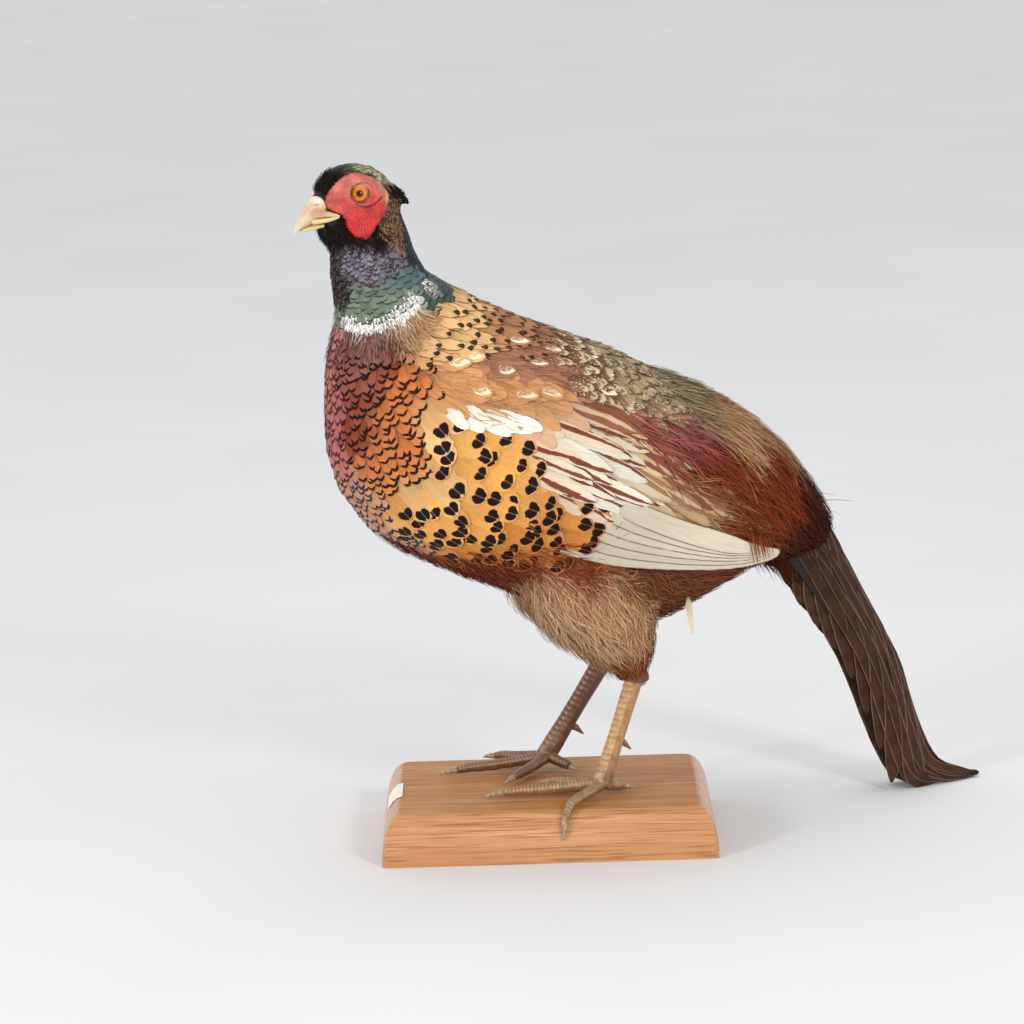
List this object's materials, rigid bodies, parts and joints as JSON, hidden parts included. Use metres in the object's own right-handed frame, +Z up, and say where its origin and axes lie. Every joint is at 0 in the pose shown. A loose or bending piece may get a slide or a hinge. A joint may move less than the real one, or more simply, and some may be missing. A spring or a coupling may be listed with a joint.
{
  "type": "taxidermy pheasant",
  "caption": "Life-size mounted cock pheasant standing on a low rectangular wooden base with rounded edges, head up, tail hanging behind.",
  "frame": {"origin": "middle of the wooden base's underside", "axes": "+Z up; X along the base's long side, the bird faces -X and is turned 21 degrees towards -Y; -Y is the side with the draped toe"},
  "size_m": [0.4129, 0.1971, 0.4166],
  "materials": {
    "base_wood": "varnished, honey-orange, duller on top",
    "paper": "blank white paper",
    "body_feathers": "chestnut and golden feathers with black marks",
    "head_feathers": "glossy dark green, blue and purple feathers",
    "wing_feathers": "brown and grey-white feathers with chestnut streaks",
    "flight_feathers": "cream feathers with thin dark lines",
    "tail_feathers": "dark brown barred feathers",
    "bill_horn": "ivory horn",
    "claw_horn": "horn",
    "leg_scales": "scaled skin, golden to red-brown",
    "wattle_skin": "red grained skin",
    "eye_glass": "glossy amber eye with a dark pupil"
  },
  "bodies": {
    "root": {"base_board": "base_wood", "blank_label": "paper", "trunk": "body_feathers", "thigh_left": "body_feathers", "thigh_right": "body_feathers", "head": "head_feathers", "neck": "head_feathers", "ear_tuft_left": "head_feathers", "ear_tuft_right": "head_feathers", "wing_left": "wing_feathers", "wing_right": "wing_feathers", "flight_feathers_left": "flight_feathers", "flight_feathers_right": "flight_feathers", "tail": "tail_feathers", "bill_upper": "bill_horn", "bill_lower": "bill_horn", "claw_middle_left": "claw_horn", "claw_inner_left": "claw_horn", "claw_outer_left": "claw_horn", "claw_hind_left": "claw_horn", "claw_middle_right": "claw_horn", "claw_inner_right": "claw_horn", "claw_outer_right": "claw_horn", "claw_hind_right": "claw_horn", "spur_left": "claw_horn", "spur_right": "claw_horn", "toe_middle_left": "leg_scales", "toe_inner_left": "leg_scales", "toe_outer_left": "leg_scales", "toe_hind_left": "leg_scales", "toe_middle_right": "leg_scales", "toe_inner_right": "leg_scales", "toe_outer_right": "leg_scales", "toe_hind_right": "leg_scales", "shank_left": "leg_scales", "shank_right": "leg_scales", "wattle_left": "wattle_skin", "wattle_right": "wattle_skin", "eye_left": "eye_glass", "eye_right": "eye_glass"}
  },
  "joints": []
}
